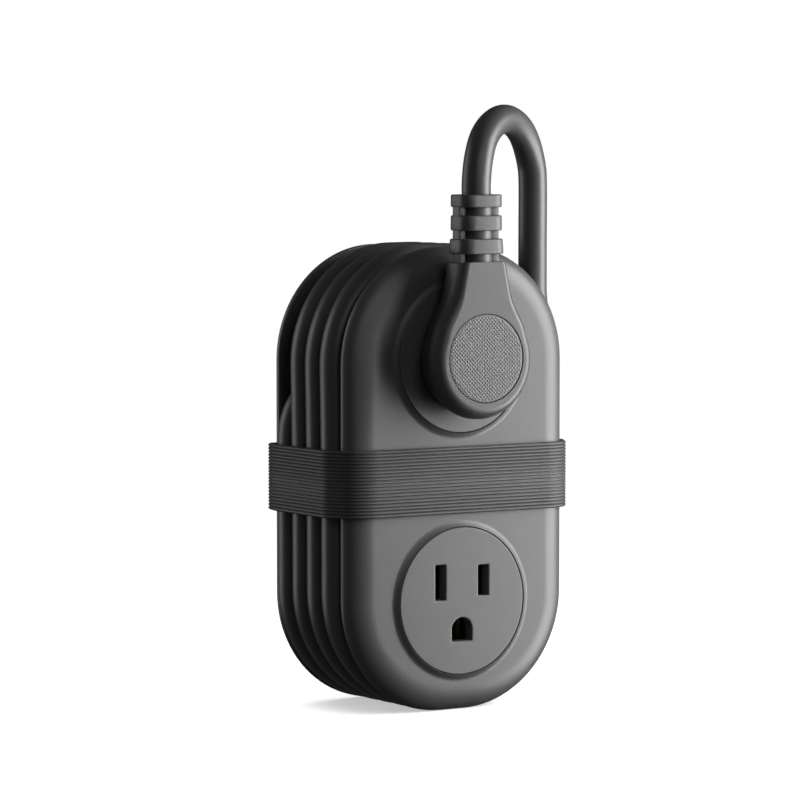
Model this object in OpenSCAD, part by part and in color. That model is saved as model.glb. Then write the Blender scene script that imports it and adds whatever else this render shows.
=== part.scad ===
// Travel power strip: two grounded outlets in a bobbin-shaped body.
// Its own cord is wound round the body and its plug is parked in the upper outlet.
// X points right, Y points to the back, Z points up. The body stands on z = 0.

/* [Body] */
// Width of the two covers
body_w = 64.5; // [62:0.5:80]
// Height of the two covers
body_h = 115; // [112:0.5:140]
// Corner radius of the two covers
body_r = 28.5; // [22:0.5:30]
// Depth of the front cover's side wall
rim_d = 4.2; // [3.6:0.1:6]
// Wall of the front cover
cover_wall = 2; // [1.6:0.1:2.6]
// Width of the front cover's rounded edge
edge_w = 7; // [5:0.5:9]
// Thickness of the rear cover
rear_t = 1.8; // [1.6:0.1:3]
// How far the winding core is set in from the covers' sides
groove_d = 5.25; // [4.5:0.05:7]
// Wall of the winding core
core_wall = 2; // [1.6:0.1:2.6]

/* [Outlets] */
// Distance between the two outlet centres
outlet_pitch = 60; // [58:0.5:64]
// Diameter of an outlet's face disc
face_dia = 36.6; // [30:0.1:37]
// Height of the raised ring round an outlet
boss_rise = 0.8; // [0.4:0.1:1.2]
// Width of the raised ring round an outlet
boss_w = 1.8; // [1.2:0.1:2.4]
// Thickness of an outlet's face disc
face_t = 3; // [2.4:0.1:3.4]
// Width of a blade slot
slot_w = 3.1; // [2.4:0.1:3.2]
// Height of the line slot
line_slot_h = 7.6; // [7:0.1:8]
// Height of the neutral slot
neutral_slot_h = 8.8; // [8.4:0.1:9.2]
// Width of the ground hole
ground_hole_w = 6; // [5.4:0.1:6.2]
// Height of the ground hole
ground_hole_h = 5.9; // [5.4:0.1:6.4]

/* [Plug] */
// Radius of the plug's round head
head_r = 14.6; // [14:0.1:16]
// Thickness of the plug's head
head_t = 10.3; // [9.6:0.1:12]
// Radius of the knurled thumb pad
pad_r = 10.8; // [9:0.1:11.5]
// Width of the segmented strain relief
relief_w = 12; // [11:0.5:13]
// Depth of the segmented strain relief
relief_d = 9; // [8.5:0.1:9.4]
// Length of a flat blade past the plug's face
blade_len = 17.5; // [16:0.5:18]
// Length of the ground pin past the plug's face
pin_len = 21; // [19:0.2:26]

/* [Cord and band] */
// Diameter of the cord
cord_dia = 7.2; // [6:0.1:7.2]
// Turns side by side on the core
lanes = 4; // [3:1:5]
// Height of the elastic band
band_h = 16.5; // [12:0.5:20]
// Thickness of the elastic band
band_t = 1.4; // [1:0.1:2]

/* [Hidden] */

$fn = 96;
fit = 0.15;                 // gap all round a piece that slides or drops into another
play = 0.3;                 // gap beside a blade between its contact leaves
band_gap = 0.2;             // gap between the band and what it is stretched over
lap = 0.01;                 // overlap of two shapes that are joined into one piece

over = 1;                   // how far a cutting shape runs past what it cuts

// Contacts. The pin of a plug, its contact strip and the carrier's cover set how deep the body is.
strip_t = 0.8;
strip_back = 1;             // carrier wall behind the ground strip
live_room = 1.5;            // from a blade's tip to its strip
pin_room = 1.8;             // from the pin's tip to its strip
carrier_cover_t = 1.5;
contact_depth = pin_len - play - boss_rise + pin_room + strip_t + strip_back + carrier_cover_t;

// Depths, front to back.
lane_gap = 0.1;             // gap between the outer lanes and the covers
tail_gap = 0.4;             // least gap between the carrier's cover and the cord behind it
groove_len = max(lanes * cord_dia + 2 * lane_gap, contact_depth - rim_d + tail_gap + cord_dia + lane_gap);
lane_pitch = (groove_len - 2 * lane_gap - cord_dia) / (lanes - 1);
body_d = rim_d + groove_len + rear_t;
front_y = -body_d / 2;                     // face of the front cover
rim_y = front_y + rim_d;                   // back edge of the front cover
flange_y = rim_y + groove_len;             // inner face of the rear cover
back_y = body_d / 2;                       // outer face of the rear cover
outlet_y = front_y - boss_rise;            // front of the outlet discs
inside_y = front_y + cover_wall;           // inner face of the front cover
lane_first_y = rim_y + lane_gap + cord_dia / 2; // centre of the front lane
lane_last_y = lane_first_y + (lanes - 1) * lane_pitch;

// Outline of the core. The winding on it clears the ground and stands out a little at the top.
winding_low = 0.2;
winding_over = 0.6;
core_ease = 0.25;           // the core's corners are this much tighter than the groove
core_w = body_w - 2 * groove_d;
core_h = body_h - winding_low + winding_over - 2 * cord_dia;
core_r = body_r - groove_d - core_ease;
core_z = winding_low + cord_dia + core_h / 2;
mid_z = body_h / 2;
flange_t = 1;               // the core's front flange, which closes the groove towards the cover
flange_in = cover_wall + 1.4;                 // how far the flange is set in from the cover's sides
lip_w = 1.2;                // lips that locate the core on the covers
lip_h = 1.2;

// Outlets: the standard spacings of a grounded 15 A outlet.
blade_x = 6.35;             // blade slots to the centre line
slot_z = 4.8;               // slots above the disc's centre
ground_drop = 11.9;         // ground hole below the slots
blade_t = 1.5;
blade_w = 6.35;
pin_dia = 4.75;
flange_lip = 1.5;           // how far a disc's hidden flange reaches under the cover
upper_z = mid_z + outlet_pitch / 2;
lower_z = mid_z - outlet_pitch / 2;
outlets = [upper_z, lower_z];

// Contact leaves, strips and their carrier.
leaf_t = 0.6;
leaf_h = 6;
leaf_flare = 0.5;           // how far a leaf's mouth opens
leaf_mouth = 1.2;           // length of the mouth
leaf_side = 0.3;            // room beside the mouth
leaf_end = 1.5;             // room above and below a live leaf
ground_leaf_end = 0.8;
strip_side = 0.2;           // room beside a strip
live_strip_x = 7.5;         // centre of a live strip
live_strip_w = 5;
ground_strip_w = 4.4;
live_gap = blade_t + 2 * play;
ground_gap = pin_dia + 2 * play;
plug_y = outlet_y - play;                     // the plug's flat face
live_strip_y = plug_y + blade_len + live_room;
ground_strip_y = plug_y + pin_len + pin_room;
carrier_y = outlet_y + face_t + fit;
carrier_front_t = 1.7;
leaf_y = carrier_y + carrier_front_t + 1.45;  // front end of the leaves
carrier_end_y = ground_strip_y + strip_t + strip_back;
carrier_w = 33;
carrier_h = outlet_pitch + 24;
notch_h = 20;               // the carrier is cut back between the outlets
notch_y = carrier_y + 5.2;
lug_w = 4;
lug_room = 0.3;             // room round a lug in the carrier's cover
lug_end_y = carrier_end_y + carrier_cover_t + 3.2;
lug_z = [mid_z + 3, mid_z + 3, mid_z - 7];    // line, neutral, ground
terminal_t = 2.4;
terminal_w = 5.2;
terminal_end = 0.5;
lug_fit = 0.1;              // gap between a lug and its terminal

// Screws.
screw_dia = 3;
screw_head_dia = 5.6;
screw_head_h = 1.8;
pilot_r = screw_dia / 2 + 0.1;                // pilot holes in the front cover's bosses
carrier_screw_x = 12.7;
carrier_screw_z = 5.5;
carrier_post_r = 2.9;
flat_head_h = screw_head_h - 0.4;             // head of a body screw
post_r = 3.5;
post_x = core_w / 2 - core_wall - fit - post_r;
web_t = 3;                                    // webs between the core's posts and its wall
web_len = core_w / 2 - core_wall / 2 - post_x;
boss_len = 15.5;
boss_end_y = front_y + boss_len;              // where the cover's bosses meet the core's posts
body_screw_y = inside_y + 1;
recess_l = 3;                                 // cross recess in a screw's head
recess_w = 0.7;
recess_d = 1;

// Cord exit on the left side of the core, in the last lane.
exit_bend_r = 2 * cord_dia;
exit_z = mid_z + 10;                          // the bend ends here, pointing down
tail_z = exit_z + exit_bend_r;
side_x = core_w / 2 + cord_dia / 2;           // cord centre along the straight sides
tail_end_x = -12;
gland_d = cord_dia + 2.6;
gland_h = 15;
gland_z = exit_z + 9.5;
gland_lip = 1.4;
gland_t = 3.05;                               // thickness of the gland's inner flange
gland_grip = 0.05;                            // gap between the gland and the cord
wire_dia = 2.2;
wire_ring_r = 1.7;                            // the three wires' centres inside the cord
wire_bend_r = 4;

// Rows of body screws: one below the middle, and one just below the cord's gland.
post_rows = [mid_z - 17.5, gland_z - gland_h / 2 - gland_lip - post_r - 0.9];

// Plug, measured from its flat face towards the front.
head_face_r = 12.6;                           // where the head meets its flat face
head_wide_d = 6.2;                            // depth of the widest ring of the head
head_front_y = plug_y - head_t;
head_flat_r = pad_r + 1;
pad_t = 0.9;
pad_gap = 0.1;
pad_z = upper_z + 0.5;
cord_y = plug_y - 5.7;                        // cord axis in the plug
neck_w = 13.4;
neck_foot_w = 2 * head_r - 2.4;               // the neck where it grows out of the head
neck_foot_z = upper_z + 6;
neck_z = upper_z + 24;                        // top of the plug body
// The collars of the strain relief, from the neck up: height, and width past relief_w.
collars = [[3.7, 0.9], [3.7, 0], [3.1, 0]];
collar_gap = 2;
relief_r = 3.2;
relief_core_r = 4.1;
bridge_w = 2;
bridge_in = 0.4;                              // how far the bridges are set in from the collars' sides
function collar_z(i) = neck_z + collar_gap + (i > 0 ? collar_z(i - 1) + collars[i - 1][0] - neck_z : 0);
relief_top_z = collar_z(2) + collars[2][0];
core_dia = 21;
plug_core_t = 5;
blade_hole_dia = 3.2;
blade_hole_y = 4.2;                           // the hole's centre from the blade's tip
blade_chamfer = 1.6;
crimp_dia = 2.8;
crimp_len = 3;
crimp_y = plug_y - plug_core_t;
seat = 0.02;                                  // gap round the plug's inner pieces

// The stretch of cord between the winding and the plug starts inside the front lane's turn.
loop_route = [[27, -9.6, 100], [27, -9.6, 116], [27, -9.6, 131], [26.1, -10, 136], [23.5, -11.4, 141],
              [20, -13.4, 144.3], [15.5, -15.8, 146.2], [11, -18.2, 146.2], [6.5, -20.6, 144.3],
              [3, -22.6, 141], [0.8, -23.9, 136], [0, -24.3, 131], [0, -24.3, 128]];
loop_across = [-14.7, 27, 0];                 // square to the plane that the loop lies in

// ---------- Shared shapes ----------

// A rounded rectangle with true arcs, centred on its own middle.
module rounded(w, h, r) {
    square([w - 2 * r, h], center = true);
    square([w, h - 2 * r], center = true);
    for (x = [-1, 1], z = [-1, 1]) translate([x * (w / 2 - r), z * (h / 2 - r)]) circle(r);
}

// An outline seen from the front, made solid from depth y0 to depth y1.
module slab(y0, y1) {
    translate([0, y1, 0]) rotate([90, 0, 0]) linear_extrude(y1 - y0) children();
}

// A straight rod along Y.
module rod(x, z, r, y0, y1) {
    translate([x, y1, z]) rotate([90, 0, 0]) cylinder(h = y1 - y0, r = r);
}

// A box given by its lowest and highest corners.
module box(a, b) {
    translate(a) cube(b - a);
}

// Points of a rounded edge, from its face at [x - w, 0] out to [x, d].
function edge_points(x, w, d) = [for (a = [90:-11.25:0]) [x - w + w * cos(a), d - d * sin(a)]];

// A profile carried round a rounded rectangle. The profile's x is measured outwards from
// the centre of a corner, and its y is depth from y0.
module round_loop(w, h, r, y0) {
    translate([0, y0, 0]) rotate([-90, 0, 0]) {
        for (q = [0:3]) translate([(q == 0 || q == 3 ? 1 : -1) * (w / 2 - r),
                                   (q < 2 ? 1 : -1) * (h / 2 - r), 0])
            rotate([0, 0, q * 90]) rotate_extrude(angle = 90) children();
        for (s = [0, 180]) rotate([0, 0, s]) {
            translate([w / 2 - r, r - h / 2, 0]) rotate([90, 0, 0]) mirror([0, 0, 1])
                linear_extrude(h - 2 * r) children();
            translate([r - w / 2, h / 2 - r, 0]) rotate([90, 0, 90])
                linear_extrude(w - 2 * r) children();
        }
    }
}

// A slab with a rounded front edge. Its face lies at depth y0 and its back at y1.
module edged_slab(w, h, r, ew, ed, y0, y1) {
    round_loop(w, h, r, y0)
        polygon(concat([[0, 0]], edge_points(r, ew, ed), [[r, y1 - y0], [0, y1 - y0]]));
    translate([0, (y0 + y1) / 2, 0])
        cube([w - 2 * r, y1 - y0, h - 2 * r], center = true);
}

// The slots and ground hole of one outlet, each made larger by grow all round.
module outlet_holes(grow = 0) {
    for (s = [[-1, neutral_slot_h], [1, line_slot_h]])
        translate([s[0] * blade_x, slot_z]) square([slot_w + 2 * grow, s[1] + 2 * grow], center = true);
    translate([0, slot_z - ground_drop]) {
        w = ground_hole_w + 2 * grow;
        h = ground_hole_h + 2 * grow;
        translate([0, h / 2 - w / 2]) circle(d = w, $fn = 48);
        translate([-w / 2, -h / 2]) square([w, h - w / 2]);
    }
}

// A tube of radius r with `sides` sides along a list of points.
function unit(v) = v / norm(v);
function tangent(p, i) = unit(p[min(i + 1, len(p) - 1)] - p[max(i - 1, 0)]);
function ring(p, i, r, sides, across) =
    let (t = tangent(p, i), u = unit(cross(across, t)), v = cross(t, u))
    [for (k = [0:sides - 1]) p[i] + r * (cos(360 * k / sides) * u + sin(360 * k / sides) * v)];
module tube(p, r, across, sides = 12) {
    last = len(p) - 1;
    points = [for (i = [0:last]) each ring(p, i, r, sides, across)];
    walls = [for (i = [0:last - 1], k = [0:sides - 1]) let (n = (k + 1) % sides)
        [i * sides + k, i * sides + n, (i + 1) * sides + n, (i + 1) * sides + k]];
    ends = [[for (k = [sides - 1:-1:0]) k], [for (k = [0:sides - 1]) last * sides + k]];
    polyhedron(points, concat(walls, ends));
}

// ---------- Casing ----------

module front_cover() color("#3b3b3d") difference() {
    union() {
        translate([0, 0, mid_z]) difference() {
            edged_slab(body_w, body_h, body_r, edge_w, rim_d, front_y, rim_y);
            edged_slab(body_w - 2 * cover_wall, body_h - 2 * cover_wall, body_r - cover_wall,
                       edge_w - 1, rim_d - cover_wall + 0.6, inside_y, rim_y + 1);
        }
        for (z = outlets) translate([0, front_y + lap, z]) rotate([90, 0, 0])
            cylinder(h = boss_rise + lap, r1 = face_dia / 2 + boss_w, r2 = face_dia / 2 + fit + 0.5);
        for (x = [-1, 1], z = [-1, 1])
            rod(x * carrier_screw_x, mid_z + z * carrier_screw_z, carrier_post_r,
                inside_y - lap, notch_y - fit);
        for (x = [-1, 1], z = post_rows) rod(x * post_x, z, post_r, inside_y - lap, boss_end_y);
        slab(inside_y - lap, rim_y + lip_h) locating_lip();
    }
    for (z = outlets) {
        rod(0, z, face_dia / 2 + fit, outlet_y - over, rim_y + over);
        rod(0, z, face_dia / 2 + flange_lip + fit, inside_y, rim_y + lip_h + over);
    }
    for (x = [-1, 1], z = [-1, 1])
        rod(x * carrier_screw_x, mid_z + z * carrier_screw_z, pilot_r, inside_y, notch_y);
    for (x = [-1, 1], z = post_rows) rod(x * post_x, z, pilot_r, body_screw_y - 0.5, boss_end_y + over);
}

// The outline of the lip that locates the winding core on a cover.
module locating_lip() translate([0, core_z]) {
    inset = core_wall + fit;
    difference() {
        rounded(core_w - 2 * inset, core_h - 2 * inset, core_r - inset);
        rounded(core_w - 2 * (inset + lip_w), core_h - 2 * (inset + lip_w), core_r - inset - lip_w);
    }
}

// The posts of the winding core and their webs, seen from the front, grown by g.
module post_outline(g = 0)
    for (x = [-1, 1], z = post_rows) {
        translate([x * post_x, z]) circle(post_r + g);
        translate([x * (post_x + web_len / 2), z]) square([web_len, web_t + 2 * g], center = true);
    }

module winding_core() color("#323234") difference() {
    union() {
        slab(rim_y, flange_y) translate([0, core_z]) difference() {
            rounded(core_w, core_h, core_r);
            rounded(core_w - 2 * core_wall, core_h - 2 * core_wall, core_r - core_wall);
        }
        slab(rim_y - flange_t, rim_y + lap) difference() {
            translate([0, mid_z])
                rounded(body_w - 2 * flange_in, body_h - 2 * flange_in, body_r - flange_in);
            translate([0, core_z])
                rounded(core_w - 2 * core_wall, core_h - 2 * core_wall, core_r - core_wall);
        }
        slab(boss_end_y, flange_y) post_outline();
    }
    for (x = [-1, 1], z = post_rows)
        rod(x * post_x, z, screw_dia / 2 + fit, boss_end_y - over, flange_y + over);
    gland_block(fit, over);
}

module rear_cover() color("#3b3b3d") difference() {
    union() {
        translate([0, 0, mid_z]) mirror([0, 1, 0])
            edged_slab(body_w, body_h, body_r, 0.8, 0.8, -back_y, -flange_y);
        slab(flange_y - lip_h, flange_y + lap) locating_lip();
    }
    for (x = [-1, 1], z = post_rows) {
        rod(x * post_x, z, screw_dia / 2 + fit, flange_y - over, back_y + over);
        translate([x * post_x, back_y + lap, z]) rotate([90, 0, 0])
            cylinder(h = flat_head_h, d1 = screw_head_dia + 2 * fit, d2 = screw_dia + 2 * fit);
    }
    slab(flange_y - lip_h - over, flange_y) post_outline(fit);
    box([-core_w / 2, flange_y - lip_h - over, gland_z - gland_h / 2 - gland_lip - fit],
        [-core_w / 2 + core_wall + gland_t + 2 * fit, flange_y, gland_z + gland_h / 2 + gland_lip + fit]);
}

// Flat-headed screws through the rear cover and the core's posts into the front cover.
module body_screws() color("silver")
    for (x = [-1, 1], z = post_rows) difference() {
        union() {
            rod(x * post_x, z, screw_dia / 2, body_screw_y, back_y - flat_head_h / 2);
            translate([x * post_x, back_y - fit, z]) rotate([90, 0, 0])
                cylinder(h = flat_head_h - fit, d1 = screw_head_dia - fit, d2 = screw_dia);
        }
        translate([x * post_x, back_y - fit, z]) cross_recess();
    }

// The cross recess of a screw whose head ends at y = 0.
module cross_recess()
    for (a = [0, 90]) rotate([0, a, 0]) cube([recess_l, 2 * recess_d, recess_w], center = true);

// ---------- Outlets and contacts ----------

module outlet_face(z) color("#3f3f41") difference() {
    union() {
        rod(0, z, face_dia / 2, outlet_y, outlet_y + face_t);
        rod(0, z, face_dia / 2 + flange_lip, inside_y + fit / 2, outlet_y + face_t);
    }
    translate([0, 0, z]) slab(outlet_y - over, outlet_y + face_t + over) outlet_holes();
}

module outlet_face_upper() outlet_face(upper_z);

module outlet_face_lower() outlet_face(lower_z);

// Room for one pair of leaves that stands at x and reaches end_room past them in z.
module leaf_pocket(x, z, gap, end_room) {
    half_w = gap / 2 + leaf_t + leaf_flare + leaf_side;
    half_h = leaf_h / 2 + end_room;
    box([x - half_w, carrier_y + carrier_front_t, z - half_h], [x + half_w, carrier_end_y + over, z + half_h]);
}

// Room for a strip and whatever lies behind it.
module strip_channel(x, w, y, dz)
    box([x - w / 2 - strip_side, y - strip_side, lower_z + dz - leaf_h / 2],
        [x + w / 2 + strip_side, carrier_end_y + over, upper_z + dz + leaf_h / 2 + strip_side]);

module contact_carrier() color("#1e1e20") difference() {
    box([-carrier_w / 2, carrier_y, mid_z - carrier_h / 2],
        [carrier_w / 2, carrier_end_y, mid_z + carrier_h / 2]);
    box([-carrier_w, carrier_y - over, mid_z - notch_h / 2], [carrier_w, notch_y, mid_z + notch_h / 2]);
    for (z = outlets) {
        translate([0, 0, z]) slab(carrier_y - over, carrier_end_y) outlet_holes(fit);
        for (x = [-1, 1]) leaf_pocket(x * blade_x, z + slot_z, live_gap, leaf_end);
        leaf_pocket(0, z + slot_z - ground_drop, ground_gap, ground_leaf_end);
    }
    for (x = [-1, 1]) strip_channel(x * live_strip_x, live_strip_w, live_strip_y, slot_z);
    strip_channel(0, ground_strip_w, ground_strip_y, slot_z - ground_drop);
    for (x = [-1, 1], z = [-1, 1])
        rod(x * carrier_screw_x, mid_z + z * carrier_screw_z, screw_dia / 2 + fit,
            carrier_y, carrier_end_y + over);
}

module carrier_cover() color("#2c2c2e") difference() {
    box([-carrier_w / 2, carrier_end_y, mid_z - carrier_h / 2],
        [carrier_w / 2, carrier_end_y + carrier_cover_t, mid_z + carrier_h / 2]);
    for (i = [0:2])
        box([lug_x(i) - lug_w / 2 - lug_room, carrier_end_y - over, lug_z[i] - strip_t / 2 - lug_room],
            [lug_x(i) + lug_w / 2 + lug_room, carrier_end_y + carrier_cover_t + over,
             lug_z[i] + strip_t / 2 + lug_room]);
    for (x = [-1, 1], z = [-1, 1])
        rod(x * carrier_screw_x, mid_z + z * carrier_screw_z, screw_dia / 2 + fit,
            carrier_end_y - over, carrier_end_y + carrier_cover_t + over);
}

module carrier_screws() color("silver")
    for (x = [-1, 1], z = [-1, 1]) difference() {
        head_y = carrier_end_y + carrier_cover_t;
        union() {
            rod(x * carrier_screw_x, mid_z + z * carrier_screw_z, screw_dia / 2, inside_y + fit, head_y + over);
            rod(x * carrier_screw_x, mid_z + z * carrier_screw_z, screw_head_dia / 2, head_y,
                head_y + screw_head_h);
        }
        translate([x * carrier_screw_x, head_y + screw_head_h, mid_z + z * carrier_screw_z]) cross_recess();
    }

function lug_x(i) = [live_strip_x, -live_strip_x, 0][i];

// Two spring leaves with flared mouths, seen from above, standing on a strip at depth y1.
module leaf_pair(x, gap, y1) {
    for (s = [-1, 1]) {
        a = x + s * gap / 2;
        polygon([[a, y1], [a, leaf_y + leaf_mouth], [a + s * leaf_flare, leaf_y],
                 [a + s * (leaf_t + leaf_flare), leaf_y], [a + s * leaf_t, leaf_y + leaf_mouth],
                 [a + s * leaf_t, y1]]);
    }
}

// A strip with one pair of leaves at each outlet and a lug at the back.
module bus_bar(strip_x, strip_w, strip_y, leaf_x, gap, leaf_dz, lug_at) {
    low = leaf_dz - leaf_h / 2 + strip_side;
    high = leaf_dz + leaf_h / 2;
    reach = gap / 2 + leaf_t;
    box([strip_x - strip_w / 2, strip_y, lower_z + low],
        [strip_x + strip_w / 2, strip_y + strip_t, upper_z + high]);
    for (z = outlets) {
        translate([0, 0, z + low]) linear_extrude(high - low) leaf_pair(leaf_x, gap, strip_y + lap);
        box([leaf_x - reach, strip_y, z + low], [leaf_x + reach, strip_y + strip_t, z + high]);
    }
    box([strip_x - lug_w / 2, strip_y, lug_at - strip_t / 2],
        [strip_x + lug_w / 2, lug_end_y, lug_at + strip_t / 2]);
}

module line_bus_bar() color("#c9a24a")
    bus_bar(live_strip_x, live_strip_w, live_strip_y, blade_x, live_gap, slot_z, lug_z[0]);

module neutral_bus_bar() color("#c9a24a")
    bus_bar(-live_strip_x, live_strip_w, live_strip_y, -blade_x, live_gap, slot_z, lug_z[1]);

module ground_bus_bar() color("#c9a24a")
    bus_bar(0, ground_strip_w, ground_strip_y, 0, ground_gap, slot_z - ground_drop, lug_z[2]);

// ---------- Cord inside the body ----------

// The outlet of the cord in the core's wall, grown by g and reaching `past` beyond its outer face.
module gland_block(g, past = 0)
    box([-core_w / 2 - past, lane_last_y - gland_d / 2 - g, gland_z - gland_h / 2 - g],
        [-core_w / 2 + core_wall + over, min(lane_last_y + gland_d / 2 + g, flange_y),
         gland_z + gland_h / 2 + g]);

// The cord from its cut end to the core's outer face, with radius r.
module tail_shape(r, past = 0) intersection() {
    union() {
        translate([-side_x + exit_bend_r, lane_last_y, exit_z]) rotate([-90, 0, 0]) mirror([0, 1, 0])
            rotate([0, 0, 90]) rotate_extrude(angle = 90) translate([exit_bend_r, 0]) circle(r, $fn = 48);
        translate([-side_x + exit_bend_r, lane_last_y, tail_z]) rotate([0, 90, 0])
            cylinder(h = side_x - exit_bend_r + tail_end_x, r = r, $fn = 48);
    }
    box([-core_w / 2 - past, front_y, exit_z], [core_w, back_y, tail_z + gland_h]);
}

module cord_gland() color("#262628") difference() {
    union() {
        gland_block(0);
        box([-core_w / 2 + core_wall + fit, lane_last_y - gland_d / 2 - gland_lip,
             gland_z - gland_h / 2 - gland_lip],
            [-core_w / 2 + core_wall + fit + gland_t, flange_y - lane_gap,
             gland_z + gland_h / 2 + gland_lip]);
    }
    tail_shape(cord_dia / 2 + gland_grip, over);
}

module cord_tail() color("#2e2e30") tail_shape(cord_dia / 2);

// A wire leaves the cord along X, turns down above its lug and ends on top of its terminal.
function wire_start(i) = let (a = 120 * i + 90)
    [tail_end_x, lane_last_y + wire_ring_r * sin(a), tail_z + wire_ring_r * cos(a)];
function wire_route(i) = let (s = wire_start(i), x = lug_x(i), y = lug_end_y - 1.2, r = wire_bend_r) concat(
    [s], [for (a = [0:22.5:90]) [x - r + r * sin(a), s.y, s.z - r + r * cos(a)]],
    [[x, (s.y + y) / 2, lug_z[i] + 2 * r], [x, y, lug_z[i] + r], [x, y, lug_z[i] + terminal_t / 2]]);
module wire(i) tube(wire_route(i), wire_dia / 2, [0, 1, 0], 8);

module line_wire() color("#1b1b1b") wire(0);

module neutral_wire() color("#e8e8e4") wire(1);

module ground_wire() color("#2f8f3f") wire(2);

// Push-on terminals where the wires meet the lugs.
module wire_terminals() color("#d8d8da")
    for (i = [0:2]) difference() {
        box([lug_x(i) - terminal_w / 2, carrier_end_y + carrier_cover_t + lug_room, lug_z[i] - terminal_t / 2],
            [lug_x(i) + terminal_w / 2, lug_end_y + terminal_end, lug_z[i] + terminal_t / 2]);
        box([lug_x(i) - lug_w / 2 - lug_fit, carrier_end_y, lug_z[i] - strip_t / 2 - lug_fit],
            [lug_x(i) + lug_w / 2 + lug_fit, lug_end_y + lug_fit, lug_z[i] + strip_t / 2 + lug_fit]);
    }

// ---------- Band and cord outside the body ----------

// The line that the stretched band takes round the covers and the cord, seen from above.
module band_line() hull() for (s = [-1, 1]) {
    for (p = edge_points(body_w / 2, edge_w, rim_d)) translate([s * p.x, front_y + p.y]) circle(lap, $fn = 16);
    for (y = [lane_first_y, lane_last_y]) translate([s * side_x, y]) circle(cord_dia / 2, $fn = 48);
    translate([s * (body_w / 2 - 1), back_y - 1]) circle(1, $fn = 32);
}

module elastic_band() color("#2b2b2d")
    translate([0, 0, mid_z - band_h / 2]) linear_extrude(band_h) difference() {
        offset(r = band_gap + band_t) band_line();
        offset(r = band_gap) band_line();
    }

// Outer shape of the wound cord.
module cord_winding() color("#2e2e30") {
    r = cord_dia / 2;
    lanes_d = lane_last_y - lane_first_y;
    translate([0, 0, core_z]) round_loop(core_w, core_h, core_r, lane_first_y) polygon(concat(
        [[core_r, -r]],
        [for (a = [-90:11.25:0]) [core_r + r + r * cos(a), r * sin(a)]],
        [for (a = [0:11.25:90]) [core_r + r + r * cos(a), lanes_d + r * sin(a)]],
        [[core_r, lanes_d + r]]));
}

module cord_loop() color("#2e2e30") tube(loop_route, cord_dia / 2, loop_across);

// ---------- Plug ----------

module plug_body() color("#38383a") difference() {
    union() {
        translate([0, plug_y, upper_z]) rotate([90, 0, 0]) rotate_extrude()
            polygon(concat([[0, 0], [head_face_r, 0]],
                [for (a = [0:11.25:90]) [head_flat_r + (head_r - head_flat_r) * cos(a),
                    head_wide_d + (head_t - head_wide_d) * sin(a)]],
                [[0, head_t]]));
        slab(cord_y - relief_d / 2, cord_y + relief_d / 2) polygon([[-neck_foot_w / 2, neck_foot_z],
            [neck_foot_w / 2, neck_foot_z], [neck_w / 2, neck_z], [-neck_w / 2, neck_z]]);
    }
    rod(0, upper_z, core_dia / 2 + seat, plug_y - plug_core_t, plug_y + over);
    rod(0, pad_z, pad_r + pad_gap, head_front_y - over, head_front_y + pad_t);
    crimps(seat);
}

module plug_grip_pad() color("#333335") rod(0, pad_z, pad_r, head_front_y, head_front_y + pad_t);

module plug_core() color("#202022") difference() {
    rod(0, upper_z, core_dia / 2, plug_y - plug_core_t, plug_y);
    for (x = [-1, 1]) blade_shape(x, seat, plug_y - plug_core_t - over);
    rod(0, upper_z + slot_z - ground_drop, pin_dia / 2 + seat, plug_y - plug_core_t - over, plug_y + over);
}

module blade_shape(side, g, y0) {
    box([side * blade_x - blade_t / 2 - g, y0, upper_z + slot_z - blade_w / 2 - g],
        [side * blade_x + blade_t / 2 + g, plug_y + blade_len, upper_z + slot_z + blade_w / 2 + g]);
}

// A flat blade with its retaining hole and a chamfered tip.
module blade(side) color("#c9c9c6") difference() {
    blade_shape(side, 0, plug_y - plug_core_t);
    translate([side * blade_x, plug_y + blade_len - blade_hole_y, upper_z + slot_z]) rotate([0, 90, 0])
        cylinder(h = 2 * blade_t, d = blade_hole_dia, center = true, $fn = 48);
    for (s = [-1, 1]) translate([side * blade_x, plug_y + blade_len, upper_z + slot_z + s * blade_w / 2])
        rotate([45, 0, 0]) cube([2 * blade_t, blade_chamfer, blade_chamfer], center = true);
}

module plug_line_blade() blade(1);

module plug_neutral_blade() blade(-1);

module plug_ground_pin() color("#c9c9c6") {
    tip = plug_y + pin_len - pin_dia / 2;
    rod(0, upper_z + slot_z - ground_drop, pin_dia / 2, plug_y - plug_core_t, tip);
    translate([0, tip, upper_z + slot_z - ground_drop]) rotate([-90, 0, 0])
        rotate_extrude() intersection() {
            circle(d = pin_dia);
            square(pin_dia);
        }
}

// Crimps that join the cord's wires to the blades and the pin.
module crimps(g) {
    for (p = [[-blade_x, slot_z], [blade_x, slot_z], [0, slot_z - ground_drop]])
        rod(p.x, upper_z + p.y, crimp_dia / 2 + g, crimp_y - crimp_len - g, crimp_y);
}

module plug_crimps() color("#b98a3a") crimps(0);

// Three collars joined to the neck by bridges and a round core.
module plug_strain_relief() color("#38383a") {
    for (i = [0:len(collars) - 1]) translate([0, cord_y, collar_z(i)])
        linear_extrude(collars[i][0]) rounded(relief_w + collars[i][1], relief_d, relief_r);
    translate([0, cord_y, neck_z]) cylinder(h = relief_top_z - neck_z, r = relief_core_r, $fn = 64);
    bridge_h = relief_top_z - over - neck_z;
    for (s = [-1, 1])
        translate([s * (relief_w - bridge_w - 2 * bridge_in) / 2, cord_y, neck_z + bridge_h / 2])
            cube([bridge_w, relief_d - 3 * bridge_in, bridge_h], center = true);
}

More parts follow.
